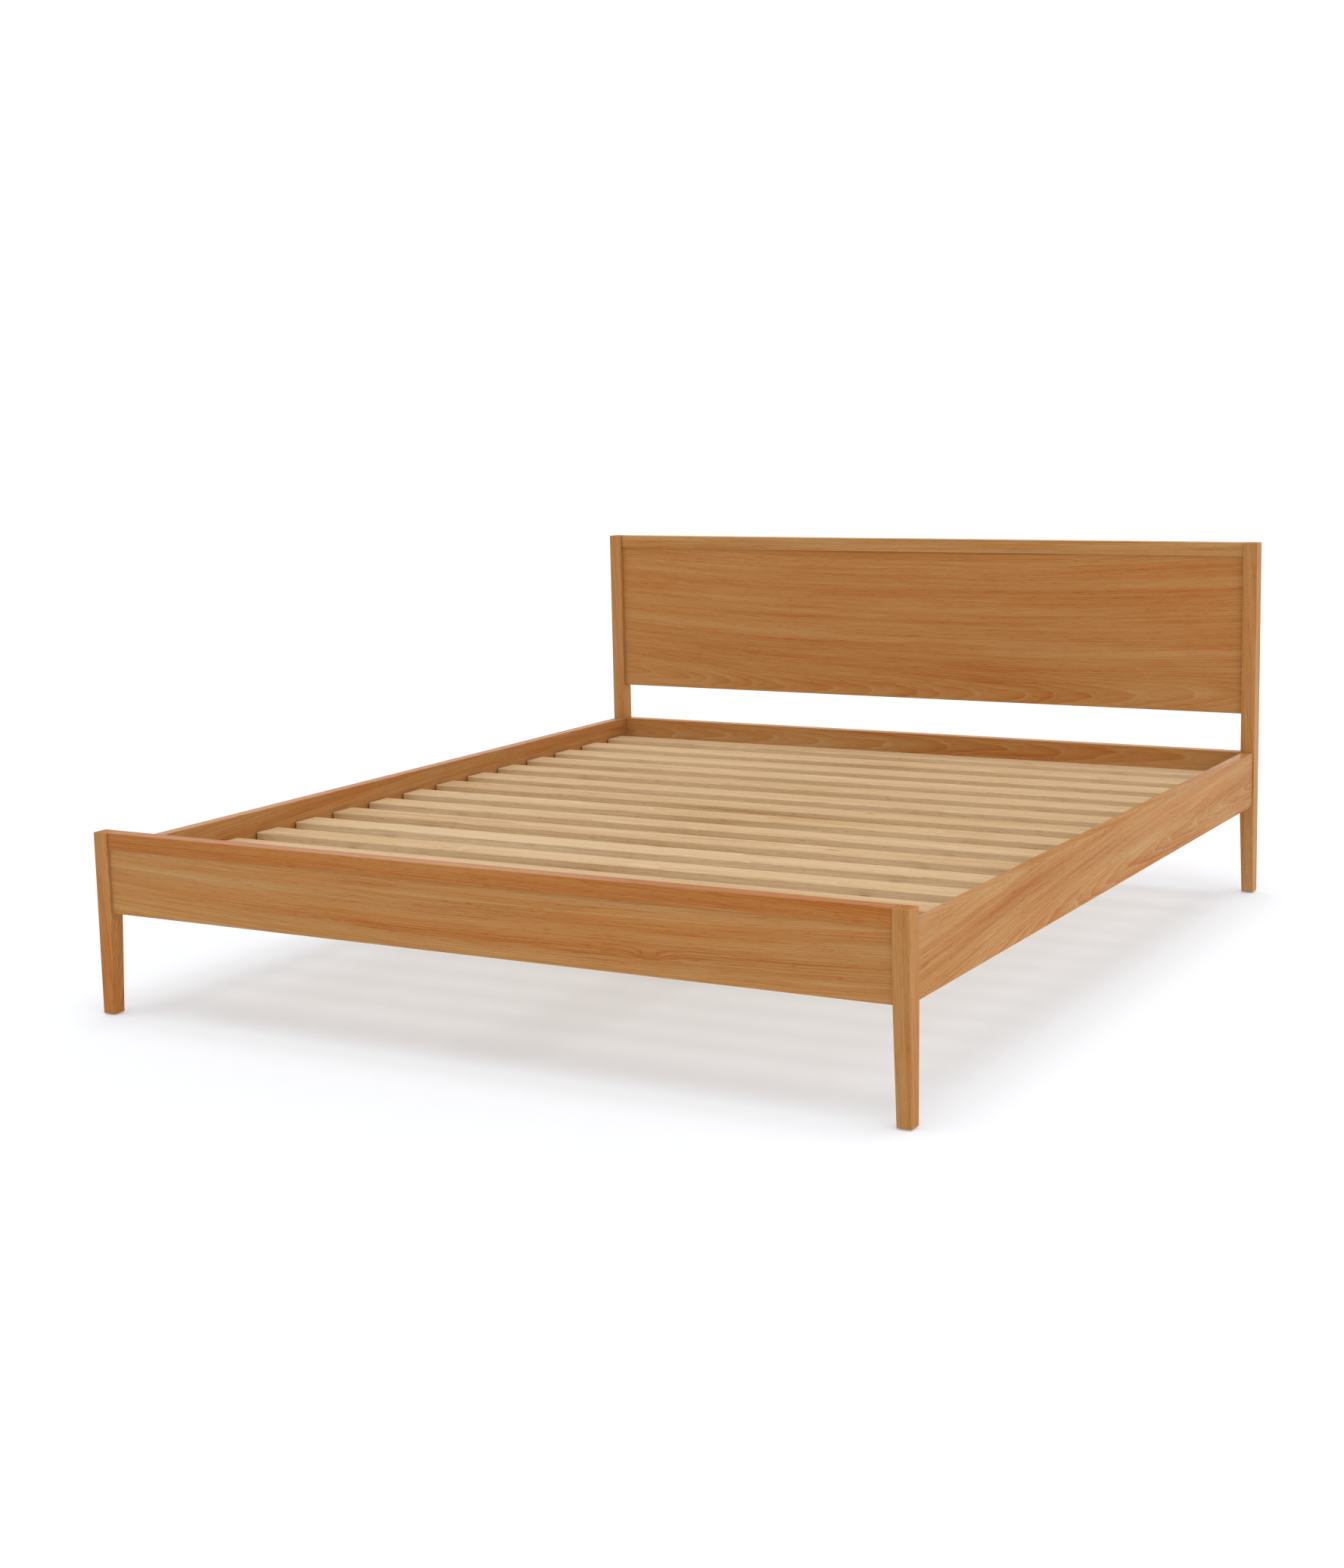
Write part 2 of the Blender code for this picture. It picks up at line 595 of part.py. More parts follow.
def make_leveller(end):
    """Insert pressed into the leg, and the screw foot that runs in it."""
    y = leg_y(end)
    bore_radius = STEM_RADIUS + STEM_CLEARANCE
    rim = -GAP - INSERT_RIM
    insert = [(bore_radius, rim), (INSERT_FLANGE, rim), (INSERT_FLANGE, -GAP),
              (INSERT_OUTER, -GAP), (INSERT_OUTER, INSERT_DEPTH), (bore_radius, INSERT_DEPTH)]
    turned(f"leg_insert_{end_name(end)}", insert, (0, y, LEG_BOTTOM), STEEL, LEVELLER_STEPS,
           closed=True)
    foot = [(0.0, 0.0), (PAD_RADIUS - PAD_EDGE, 0.0), (PAD_RADIUS, PAD_EDGE),
            (PAD_RADIUS, PAD_HEIGHT - PAD_SLOPE[1]), (PAD_RADIUS - PAD_SLOPE[0], PAD_HEIGHT),
            (STEM_RADIUS, PAD_HEIGHT), (STEM_RADIUS, STEM_TOP - STEM_CHAMFER),
            (STEM_RADIUS - STEM_CHAMFER, STEM_TOP), (0.0, STEM_TOP)]
    turned(f"leveller_{end_name(end)}", foot, (0, y, 0.0), STEEL, LEVELLER_STEPS)


# ---------------------------------------------------------------- assembly
panels = {end: make_panel(end) for end in (-1, 1)}
cross_rail = make_cross_rail()
ledgers = {side: make_ledger(side) for side in (-1, 1)}
slats = [make_slat(index) for index in range(SLATS)]
for end in (-1, 1):
    make_cap(end)
    for side in (-1, 1):
        make_post(side, end)
        make_glide(side, end)
        make_hook_plate(side, end)
        make_slot_plate(side, end)
for side in (-1, 1):
    make_side_rail(side)
    make_strap(side)
make_slat_screws(slats, ledgers)
make_beam()
make_hanger(-1, panels[-1])
make_hanger(1, cross_rail)
for end in (-1, 1):
    make_support_leg(end)
    make_leveller(end)
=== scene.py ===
"""Looks of the wooden bed frame: materials, fine detail, floor, light and camera.

Everything is in metres in the CAD frame: +Z up, the foot end at -Y, left is -X.
"""
import math
import random

import bmesh
import bpy
from mathutils import Matrix, Vector


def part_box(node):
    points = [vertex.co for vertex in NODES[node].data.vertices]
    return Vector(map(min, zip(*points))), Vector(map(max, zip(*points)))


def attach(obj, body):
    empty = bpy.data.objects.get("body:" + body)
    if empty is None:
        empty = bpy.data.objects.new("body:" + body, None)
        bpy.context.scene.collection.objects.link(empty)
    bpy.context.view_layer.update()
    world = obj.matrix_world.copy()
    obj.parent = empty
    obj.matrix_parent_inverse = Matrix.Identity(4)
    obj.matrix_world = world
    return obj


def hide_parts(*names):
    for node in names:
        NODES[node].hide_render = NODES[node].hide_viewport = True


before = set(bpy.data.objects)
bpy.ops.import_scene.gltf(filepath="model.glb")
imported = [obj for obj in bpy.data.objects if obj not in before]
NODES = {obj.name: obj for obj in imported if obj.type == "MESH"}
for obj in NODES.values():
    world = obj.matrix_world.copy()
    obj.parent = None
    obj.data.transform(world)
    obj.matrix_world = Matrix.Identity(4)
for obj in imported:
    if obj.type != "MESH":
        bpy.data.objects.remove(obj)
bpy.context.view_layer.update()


# ---------------------------------------------------------------- node building
class Nodes:
    """A node tree, built node by node. Each method adds a node and returns its socket."""

    def __init__(self, tree):
        self.tree = tree

    def feed(self, socket, value):
        if isinstance(value, bpy.types.NodeSocket):
            self.tree.links.new(value, socket)
        else:
            socket.default_value = value

    def node(self, kind, inputs, output=0, **settings):
        made = self.tree.nodes.new(kind)
        for key, value in settings.items():
            setattr(made, key, value)
        for key, value in inputs.items():
            self.feed(made.inputs[key], value)
        return made.outputs[output]

    def math(self, operation, *values):
        return self.node("ShaderNodeMath", dict(enumerate(values)), operation=operation)

    def add(self, *values):
        total = values[0]
        for value in values[1:]:
            total = self.math("ADD", total, value)
        return total

    def minus(self, a, b):
        return self.math("SUBTRACT", a, b)

    def times(self, a, b):
        return self.math("MULTIPLY", a, b)

    def scaled(self, value, factor, offset):
        """value * factor + offset"""
        return self.math("MULTIPLY_ADD", value, factor, offset)

    def distance(self, a, b):
        """The length of a line that goes a one way and b across it."""
        return self.math("SQRT", self.add(self.times(a, a), self.times(b, b)))

    def centred(self, value, size):
        """A 0..1 pattern moved to -size/2..size/2."""
        return self.scaled(value, size, -size / 2)

    def smooth(self, value, low, high):
        """0 at low, 1 at high, with a soft step between them."""
        inputs = {"Value": value, "From Min": low, "From Max": high, "To Min": 0.0, "To Max": 1.0}
        return self.node("ShaderNodeMapRange", inputs, interpolation_type="SMOOTHSTEP")

    def vector(self, x, y, z):
        return self.node("ShaderNodeCombineXYZ", {0: x, 1: y, 2: z})

    def point(self, coordinate="Object"):
        """X, Y and Z of a texture coordinate; Object is the point in the bed's own frame."""
        where = self.node("ShaderNodeTexCoord", {}, output=coordinate)
        split = self.tree.nodes.new("ShaderNodeSeparateXYZ")
        self.tree.links.new(where, split.inputs[0])
        return list(split.outputs)

    def noise(self, point, scale=1.0, detail=2.0, roughness=0.5):
        inputs = {"Vector": point, "Scale": scale, "Detail": detail, "Roughness": roughness}
        return self.node("ShaderNodeTexNoise", inputs)

    def ramp(self, value, stops):
        """stops is a list of (position, colour); the colours blend between them."""
        made = self.tree.nodes.new("ShaderNodeValToRGB")
        self.feed(made.inputs[0], value)
        elements = made.color_ramp.elements
        while len(elements) < len(stops):
            elements.new(0.5)
        for element, (position, colour) in zip(elements, stops):
            element.position = position
            element.color = (*colour, 1.0)
        return made.outputs[0]

    def mix(self, factor, a, b, blend="MIX"):
        made = self.tree.nodes.new("ShaderNodeMix")
        made.data_type = "RGBA"
        made.blend_type = blend
        self.feed(made.inputs[0], factor)
        for socket, value in ((made.inputs[6], a), (made.inputs[7], b)):
            self.feed(socket, value if isinstance(value, bpy.types.NodeSocket) else (*value, 1.0))
        return made.outputs[2]

    def bump(self, height, distance):
        return self.node("ShaderNodeBump", {"Height": height, "Distance": distance})


class Shade(Nodes):
    """One material."""

    def __init__(self, name):
        self.material = bpy.data.materials.new(name)
        self.material.use_nodes = True
        super().__init__(self.material.node_tree)
        self.shader = self.tree.nodes["Principled BSDF"]

    def finish(self, **sockets):
        """Set the shader's sockets; a name's spaces are written as _."""
        for name, value in sockets.items():
            self.feed(self.shader.inputs[name.replace("_", " ")], value)
        return self.material


def dress(node_name, material):
    """Give a CAD node its finished material."""
    piece = NODES[node_name]
    piece.data.materials.clear()
    piece.data.materials.append(material)


# ---------------------------------------------------------------- wood
# colours from the darkest grain (0) to the palest (1)
SHOW_TONES = [(0.00, (0.350, 0.112, 0.0270)),
              (0.25, (0.396, 0.163, 0.0465)),
              (0.50, (0.426, 0.201, 0.0660)),
              (0.75, (0.452, 0.239, 0.0890)),
              (1.00, (0.484, 0.286, 0.1210))]
SLAT_TONES = [(0.00, (0.440, 0.255, 0.115)),
              (0.30, (0.540, 0.350, 0.180)),
              (0.50, (0.590, 0.405, 0.225)),
              (0.75, (0.635, 0.455, 0.265)),
              (1.00, (0.700, 0.530, 0.340))]
BLUSH = (1.03, 0.91, 0.80)      # what the redder patches of the show wood are multiplied by
BLUSH_PATCHES = 0.75            # how much stronger the blush is inside a patch

PITH_WANDER = (0.016, 0.008)    # how far the log's middle line strays, across the width and thickness
PITH_BENDS = 1.7                # how many times it strays in a metre
RING_WOBBLES = ((3.5, 12.0, 0.0050),    # waves a metre along, waves a metre across, and their size
                (13.0, 36.0, 0.0014))
KNOT_STRETCH = 3.2              # a knot's figure is this much longer than it is wide
KNOT_SWELL = 1.7                # how far a knot pushes the rings out, in its own radii
KNOT_FADE = -1.6                # how fast that push dies away from it, as a power of two

STREAKS = (0.50, 44.0, 0.9)     # streaks a metre along, a metre outwards, and a radian round the log
STREAK_ROUGHNESS = 0.84
BROAD_BANDS = (1.3, 11.0)       # broad bands a metre along and across
SEASONS = 60.0                  # how often rings grow closer or wider, in a metre outwards
SEASON_SIZE = 2.6               # by how many rings
FIBRES = (3.5, 420.0)           # fibres a metre along and across
PORES = (34.0, 620.0)           # pores a metre along and across

STREAK_DEPTH = 1.60             # how much each pattern moves the tone
BROAD_DEPTH = 0.40
FIBRE_DEPTH = 0.22
PALE_LINE_DEPTH = 0.7           # as a part of the rings' own depth
PORE_DEPTH = 0.52
END_GRAIN_DEPTH = 0.20
MIDDLE_TONE = 0.52
RING_BALANCE = 0.34             # gives back the tone that dark rings take away
EDGE_HIGHLIGHT_REACH = (0.0030, 0.0004)    # metres from an edge where the painted highlight begins and where it is full
WOOD_RELIEF = 0.00006           # height of the grain
WOOD_SPECULAR = 0.020


def board_axes(node_name):
    """The board's middle, half sizes, and its axes from the longest to the shortest."""
    low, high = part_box(node_name)
    size = high - low
    order = sorted(range(3), key=lambda axis: -size[axis])
    return (low + high) / 2, size / 2, order


def from_pith(shade, place, half_length, pith, seed):
    """How far the point is from the log's middle line, across the board's width and thickness."""
    along = place[0]
    away = []
    for across, (low, centre, high), wander in zip(place[1:], pith, PITH_WANDER):
        slope = (high - low) / (2 * half_length)
        sweep = (high + low - 2 * centre) / (2 * half_length * half_length)
        line = shade.scaled(along, shade.scaled(along, sweep, slope), centre)
        stray = shade.noise(shade.vector(along, seed, 100 * wander), PITH_BENDS)
        away.append(shade.minus(across, shade.add(line, shade.centred(stray, wander))))
    return away


def wavy_radius(shade, place, away, seed):
    """The distance from the log's middle line, with the wobbles that real rings have."""
    along, across, _ = place
    radius = shade.distance(*away)
    for along_rate, across_rate, size in RING_WOBBLES:
        point = shade.vector(shade.times(along, along_rate), shade.times(across, across_rate), seed)
        radius = shade.add(radius, shade.centred(shade.noise(point, detail=1.0), size))
    return radius


def swell_at_knots(shade, place, radius, knots):
    """The radius with the rings pushed out round each knot, and how deep in a knot the point is."""
    along, across, _ = place
    inside = 0.0
    for knot_along, knot_across, size in knots:
        far_along = shade.math("DIVIDE", shade.minus(along, knot_along), KNOT_STRETCH * size)
        far_across = shade.math("DIVIDE", shade.minus(across, knot_across), size)
        far = shade.distance(far_along, far_across)
        swell = shade.math("POWER", 2.0, shade.times(far, KNOT_FADE))
        radius = shade.add(radius, shade.times(swell, KNOT_SWELL * size))
        inside = shade.add(inside, shade.smooth(far, 1.1, 0.2))
    return radius, inside


def across_log(shade, along, away, rates, seed):
    """A point whose patterns are long along the log and short across it."""
    along_rate, across_rate = rates
    from_v, from_w = away
    return shade.vector(shade.scaled(along, along_rate, seed), shade.times(from_v, across_rate),
                        shade.times(from_w, across_rate))


def near_edges(shade, place, half, order):
    """1 at the board's edges, 0 on its faces: how near the second nearest face is."""
    reach = [shade.minus(half[axis], shade.math("ABSOLUTE", near)) for axis, near in zip(order, place)]
    smaller = shade.math("MINIMUM", reach[0], reach[1])
    larger = shade.math("MAXIMUM", reach[0], reach[1])
    second = shade.math("MAXIMUM", smaller, shade.math("MINIMUM", larger, reach[2]))
    return shade.smooth(second, *EDGE_HIGHLIGHT_REACH)


def blushed(shade, colour, place, seed, blush):
    """The colour leaning to red, more in some long patches than elsewhere."""
    along, across, deep = place
    point = shade.vector(shade.times(along, 1.5), shade.times(shade.add(across, deep), 15.0), seed)
    patches = shade.smooth(shade.noise(point), 0.40, 0.66)
    return shade.mix(shade.scaled(patches, BLUSH_PATCHES, blush), colour, BLUSH, "MULTIPLY")


def wood(node_name, tones, pith, tone=0.0, contrast=1.0, rings=0.22, ring_step=0.0035,
         gloss=0.36, knots=(), knot_depth=0.22, blush=None):
    """Solid wood cut from a log, so that every face shows the grain that it would really show.

    pith is the log's middle line, in metres from the board's own middle: first across the
    board's width, then across its thickness, each at the board's low end, middle and high end.
    tone moves the whole board towards the dark (-) or the pale (+) end of its colours.
    knots are (along, across, radius), in metres from the board's middle.
    blush is how far the whole board leans to red; None leaves out the red patches as well.
    """
    middle, half, order = board_axes(node_name)
    seed = random.Random(node_name).uniform(-40.0, 40.0)
    shade = Shade(f"wood_{node_name}")
    point = shade.point()
    place = [shade.minus(point[axis], middle[axis]) for axis in order]
    along, across, _ = place
    away = from_pith(shade, place, half[order[0]], pith, seed)
    radius = wavy_radius(shade, place, away, seed)
    radius, in_knot = swell_at_knots(shade, place, radius, knots)

    # streaks that follow the rings, from broad bands to fine lines
    along_rate, out_rate, round_rate = STREAKS
    angle = shade.math("ARCTAN2", *away)
    streaks = shade.noise(shade.vector(shade.scaled(along, along_rate, seed),
                                       shade.times(radius, out_rate),
                                       shade.times(angle, round_rate)),
                          detail=4.0, roughness=STREAK_ROUGHNESS)
    along_rate, across_rate = BROAD_BANDS
    broad = shade.noise(shade.vector(shade.times(along, along_rate),
                                     shade.times(across, across_rate), seed + 7.0))

    # the rings: each darkens slowly into its late wood and ends in a thin pale line
    seasons = shade.noise(shade.vector(shade.times(radius, SEASONS), seed, 0.0), detail=1.0)
    uneven = shade.add(streaks, shade.times(seasons, SEASON_SIZE))
    ring = shade.math("FRACT", shade.scaled(radius, 1 / ring_step, uneven))
    late = shade.minus(shade.smooth(ring, 0.15, 0.84), shade.smooth(ring, 0.84, 0.90))
    pale_line = shade.minus(shade.smooth(ring, 0.84, 0.92), shade.smooth(ring, 0.94, 1.0))

    # fibres run along the log; pores are short dark dashes, most of them in the early wood
    fibres = shade.noise(across_log(shade, along, away, FIBRES, seed), roughness=0.7)
    fibres = shade.smooth(fibres, 0.26, 0.74)
    pores = shade.noise(across_log(shade, along, away, PORES, seed), detail=1.0)
    pores = shade.smooth(pores, 0.58, 0.71)
    pores = shade.times(pores, shade.scaled(shade.smooth(ring, 0.55, 0.10), 0.65, 0.35))

    value = shade.add(shade.centred(streaks, STREAK_DEPTH * contrast),
                      shade.centred(broad, BROAD_DEPTH * contrast),
                      shade.centred(fibres, FIBRE_DEPTH * contrast),
                      MIDDLE_TONE + RING_BALANCE * rings + tone)
    value = shade.minus(value, shade.times(late, rings))
    value = shade.add(value, shade.times(pale_line, PALE_LINE_DEPTH * rings))
    value = shade.minus(value, shade.times(pores, PORE_DEPTH))
    if knots:
        value = shade.minus(value, shade.times(in_knot, knot_depth))

    # end grain drinks more of the finish, so it is darker and duller; the edges are paler, a painted
    # highlight
    normal = shade.point("Normal")
    end_grain = shade.smooth(shade.math("ABSOLUTE", normal[order[0]]), 0.6, 0.95)
    value = shade.minus(value, shade.times(end_grain, END_GRAIN_DEPTH))
    # paler along every edge of the board: a painted highlight
    edge_highlight = near_edges(shade, place, half, order)
    value = shade.add(value, shade.times(edge_highlight, shade.scaled(fibres, 0.16, 0.02)))

    colour = shade.ramp(value, tones)
    if blush is not None:
        colour = blushed(shade, colour, place, seed + 13.0, blush)
    roughness = shade.add(gloss, shade.times(pores, 0.16), shade.times(end_grain, 0.14),
                          shade.centred(fibres, 0.10), shade.times(edge_highlight, -0.04))
    height = shade.minus(shade.times(fibres, 0.35), pores)
    height = shade.add(height, shade.times(late, 0.25))
    return shade.finish(Base_Color=colour, Roughness=roughness,
                        Normal=shade.bump(height, WOOD_RELIEF), Specular_IOR_Level=WOOD_SPECULAR)


# node: (pith across the width, pith across the thickness, tone, contrast, rings, blush)
SHOW_BOARDS = {
    "foot_panel": ((-0.118, -0.140, -0.112), (-0.100, -0.110, -0.120), 0.00, 1.25, 0.22, 0.0),
    "foot_cap_rail": ((0.050, 0.060, 0.072), (-0.080, -0.080, -0.090), -0.26, 0.9, 0.18, 0.55),
    # the headboard's panel and cap rail are paler partly from their own tone and partly as painted
    # light, for light thrown on them from in front
    "head_panel": ((-0.160, -0.190, -0.150), (-0.060, -0.090, -0.120), 0.10, 1.3, 0.26, 0.85),
    "head_cap_rail": ((-0.090, -0.080, -0.066), (-0.050, -0.060, -0.070), 0.20, 1.7, 0.22, 0.0),
    "head_cross_rail": ((0.030, 0.040, 0.052), (-0.070, -0.090, -0.110), 0.00, 1.0, 0.26, 0.3),
    "side_rail_left": ((-0.090, -0.030, -0.035), (-0.090, -0.075, -0.060), 0.02, 1.3, 0.30, 0.1),
    "side_rail_right": ((-0.105, -0.046, -0.010), (-0.078, -0.048, -0.022), 0.01, 1.4, 0.33, -0.1),
    "foot_post_left": ((0.028, 0.032, 0.036), (-0.080, -0.090, -0.100), -0.02, 1.2, 0.22, 0.4),
    "foot_post_right": ((-0.050, -0.046, -0.042), (-0.064, -0.070, -0.076), -0.04, 1.0, 0.20, -0.1),
    # the head posts are paler partly from their own tone and partly as painted light, for light thrown
    # on them from in front
    "head_post_left": ((0.038, 0.048, 0.060), (-0.066, -0.080, -0.094), 0.06, 1.2, 0.22, 0.0),
    "head_post_right": ((-0.052, -0.044, -0.034), (-0.060, -0.080, -0.100), 0.10, 1.4, 0.22, 0.0),
}
KNOTS = {"foot_panel": [(0.42, -0.034, 0.011)]}


def dress_show_wood():
    for name, (across, deep, tone, contrast, rings, blush) in SHOW_BOARDS.items():
        dress(name, wood(name, SHOW_TONES, (across, deep), tone, contrast, rings,
                         knots=KNOTS.get(name, ()), blush=blush))


def dress_slat_wood():
    """The pale wood under the mattress; each piece comes from its own log, and slats have knots."""
    for name in sorted(NODES):
        if not name.startswith(("slat_0", "slat_1", "slat_ledger", "centre_beam", "support_leg")):
            continue
        chance = random.Random(f"log_{name}")
        _, half, (_, wide_axis, _) = board_axes(name)
        beside = chance.uniform(-1.8, 1.8) * half[wide_axis]
        depth = chance.uniform(0.03, 0.12)
        drift = chance.uniform(-0.02, 0.02)
        lean = chance.uniform(-0.02, 0.02)
        pith = ((beside - drift, beside, beside + drift), (-depth - lean, -depth, -depth + lean))
        knots = [(chance.uniform(-0.8, 0.8), chance.uniform(-0.02, 0.02), chance.uniform(0.005, 0.008))
                 for _ in range(chance.choice((0, 0, 1, 1, 2)))]
        if not name.startswith(("slat_0", "slat_1")):
            knots = []
        tone = chance.uniform(-0.10, 0.10)
        dress(name, wood(name, SLAT_TONES, pith, tone, contrast=0.8, rings=0.26, ring_step=0.0042,
                         gloss=0.58, knots=knots, knot_depth=0.45))


# ---------------------------------------------------------------- steel, nylon and webbing
ZINC = (0.56, 0.56, 0.57)
DULL_ZINC = tuple(0.80 * channel for channel in ZINC)


def steel(name, axis):
    """Zinc-plated sheet or bar with fine drawn lines along an axis."""
    shade = Shade(name)
    point = shade.point()
    stretched = [shade.times(value, 60.0 if index == axis else 2400.0)
                 for index, value in enumerate(point)]
    lines = shade.noise(shade.vector(*stretched), roughness=0.6)
    cloud = shade.noise(shade.vector(*point), 130.0, 3.0, 0.6)
    tint = shade.mix(shade.add(shade.times(cloud, 0.6), shade.times(lines, 0.4)), DULL_ZINC, ZINC)
    roughness = shade.add(0.24, shade.times(lines, 0.12), shade.times(cloud, 0.16))
    return shade.finish(Base_Color=tint, Metallic=1.0, Roughness=roughness,
                        Normal=shade.bump(lines, 0.00003))


STEEL_UP = steel("zinc_steel_z", 2)
STEEL_ACROSS = steel("zinc_steel_x", 0)


def nylon(name):
    """Moulded nylon with a fine matt grain."""
    shade = Shade(name)
    point = shade.vector(*shade.point())
    grain = shade.noise(point, 2600.0, 2.0, 0.6)
    cloud = shade.noise(point, 160.0)
    colour = shade.ramp(cloud, [(0.3, (0.52, 0.50, 0.45)), (0.7, (0.60, 0.58, 0.53))])
    roughness = shade.add(0.42, shade.times(grain, 0.16))
    return shade.finish(Base_Color=colour, Roughness=roughness,
                        Normal=shade.bump(grain, 0.00004))


RIB_ACROSS = 0.0016         # pitch of the weave's ribs
RIB_ALONG = 0.0022


def webbing_material():
    """Woven polypropylene: short ribs across and along, with loose fuzz on them."""
    shade = Shade("webbing")
    point = shade.point()
    across = shade.math("SINE", shade.times(point[0], math.tau / RIB_ACROSS))
    along = shade.math("SINE", shade.times(point[1], math.tau / RIB_ALONG))
    weave = shade.times(across, along)
    fuzz = shade.noise(shade.vector(*point), 900.0, 3.0, 0.7)
    value = shade.add(0.5, shade.times(weave, 0.22), shade.centred(fuzz, 0.5))
    colour = shade.ramp(value, [(0.0, (0.42, 0.39, 0.33)), (1.0, (0.72, 0.69, 0.62))])
    return shade.finish(Base_Color=colour, Roughness=shade.add(0.78, shade.times(fuzz, 0.15)),
                        Normal=shade.bump(weave, 0.00025))


def dress_hardware():
    glide_nylon = nylon("nylon_glide")
    for name in sorted(NODES):
        if name.startswith(("rail_hook", "post_slot_plate", "leg_insert")):
            dress(name, STEEL_UP)
        elif name.startswith("beam_hanger"):
            dress(name, STEEL_ACROSS)
        elif name.startswith("glide"):
            dress(name, glide_nylon)


# ---------------------------------------------------------------- making detail pieces
SHARP_ANGLE = math.radians(35)      # where two faces meet at more than this, the edge looks sharp


def loft(shape, rings):
    """Skin a closed body over rings of points, with a face across each end."""
    rows = [[shape.verts.new(point) for point in ring] for ring in rings]
    for low, high in zip(rows, rows[1:]):
        for index, corner in enumerate(low):
            after = (index + 1) % len(low)
            shape.faces.new((corner, low[after], high[after], high[index]))
    shape.faces.new(reversed(rows[0]))
    shape.faces.new(rows[-1])


def round_ring(radius, height, sides):
    steps = [math.tau * index / sides for index in range(sides)]
    return [(radius * math.cos(step), radius * math.sin(step), height) for step in steps]


def finished_mesh(shape, name):
    mesh = bpy.data.meshes.new(name)
    bmesh.ops.recalc_face_normals(shape, faces=shape.faces)
    shape.to_mesh(mesh)
    shape.free()
    mesh.shade_smooth()
    mesh.set_sharp_from_angle(angle=SHARP_ANGLE)
    return mesh


def add_piece(name, data, material, body, stands_for=()):
    """Link a finished piece, let it ride on a body, and hide the CAD nodes it stands for."""
    piece = bpy.data.objects.new(name, data)
    bpy.context.scene.collection.objects.link(piece)
    data.materials.clear()
    data.materials.append(material)
    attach(piece, body)
    if stands_for:
        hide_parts(*stands_for)
    return piece


# ---------------------------------------------------------------- webbing and staples
WEBBING_SAG = 0.0016        # between two slats
SAG_STEPS = 10
EDGE_WIDTH = 0.0017         # from the webbing's side to the groove of its selvedge
GROOVE_DEPTH = 0.00018
GROOVE_REACH = 0.0004       # half the groove's width
STAPLE_CROWN = 0.0105
STAPLE_CORNER = 0.0008
STAPLE_WIRE = 0.00055       # radius
STAPLE_LEG = 0.0060
STAPLE_PLACES = (0.30, 0.70)    # as shares of a slat's width
STAPLE_TURN = 0.09          # the most that one sits askew, in radians
STAPLE_SHIFT = 0.001        # and to one side


def slat_boxes():
    names = [name for name in NODES if name.startswith(("slat_0", "slat_1"))]
    return [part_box(name) for name in sorted(names)]


def webbing_section(half_width, half_thickness):
    """The webbing's outline: flat, with round sides and a groove beside each selvedge."""
    flat = half_width - half_thickness
    groove = half_width - EDGE_WIDTH
    top = [(flat, half_thickness), (groove + GROOVE_REACH, half_thickness),
           (groove, half_thickness - GROOVE_DEPTH), (groove - GROOVE_REACH, half_thickness)]
    top += [(-x, z) for x, z in reversed(top)]
    left = [(-flat - half_thickness * math.sin(turn), half_thickness * math.cos(turn))
            for turn in (math.pi / 4, math.pi / 2, 3 * math.pi / 4)]
    half_outline = top + left
    return half_outline + [(-x, -z) for x, z in half_outline]


def make_webbing(side, cloth):
    """Webbing held against the undersides of the slats, hanging a little between them."""
    node = f"slat_strap_{side}"
    low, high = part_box(node)
    middle = (low + high) / 2
    section = webbing_section((high.x - low.x) / 2, (high.z - low.z) / 2)
    stations = [(low.y, 0.0)]
    boxes = slat_boxes()
    for (_, before), (after, _) in zip(boxes, boxes[1:]):
        for index in range(SAG_STEPS + 1):
            share = index / SAG_STEPS
            stations.append((before.y + share * (after.y - before.y),
                             WEBBING_SAG * math.sin(math.pi * share) ** 2))
    stations.append((high.y, 0.0))
    shape = bmesh.new()
    loft(shape, [[(middle.x + x, y, middle.z + z - drop) for x, z in section]
                 for y, drop in stations])
    add_piece(f"webbing_{side}", finished_mesh(shape, f"webbing_{side}"), cloth, "frame",
              [node])


def make_staples(side):
    """Two wire staples through the webbing into every slat."""
    low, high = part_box(f"slat_strap_{side}")
    middle = (low + high) / 2
    wire = bpy.data.curves.new(f"staples_{side}", "CURVE")
    wire.dimensions = "3D"
    wire.bevel_depth = STAPLE_WIRE
    wire.bevel_resolution = 2
    wire.use_fill_caps = True
    half = STAPLE_CROWN / 2
    crown_z = low.z - STAPLE_WIRE
    bends = [(-half, STAPLE_LEG), (-half, STAPLE_CORNER),
             (-half + 0.3 * STAPLE_CORNER, 0.3 * STAPLE_CORNER), (-half + STAPLE_CORNER, 0.0)]
    bends += [(-x, z) for x, z in reversed(bends)]
    for number, (slat_low, slat_high) in enumerate(slat_boxes()):
        for share in STAPLE_PLACES:
            y = slat_low.y + share * (slat_high.y - slat_low.y)
            chance = random.Random(f"{side}_{number}_{share}")
            turn = chance.uniform(-STAPLE_TURN, STAPLE_TURN)
            shift = chance.uniform(-STAPLE_SHIFT, STAPLE_SHIFT)
            spline = wire.splines.new("POLY")
            spline.points.add(len(bends) - 1)
            for point, (x, z) in zip(spline.points, bends):
                point.co = (middle.x + shift + x * math.cos(turn), y + x * math.sin(turn),
                            crown_z + z, 1.0)
    add_piece(f"staples_{side}", wire, STEEL_ACROSS, "frame")


# ---------------------------------------------------------------- levelling feet
THREAD_PITCH = 0.00125
THREAD_DEPTH = 0.00070
THREAD_ROWS = 6             # rings in each turn of the thread
THREAD_SIDES = 24
STEM_RADIUS = 0.0040
STEM_BOTTOM = 0.0060        # inside the spanner flats
DISC_SIDES = 56
DISC_EDGE = 0.0010
DISC_TOP = 0.0038
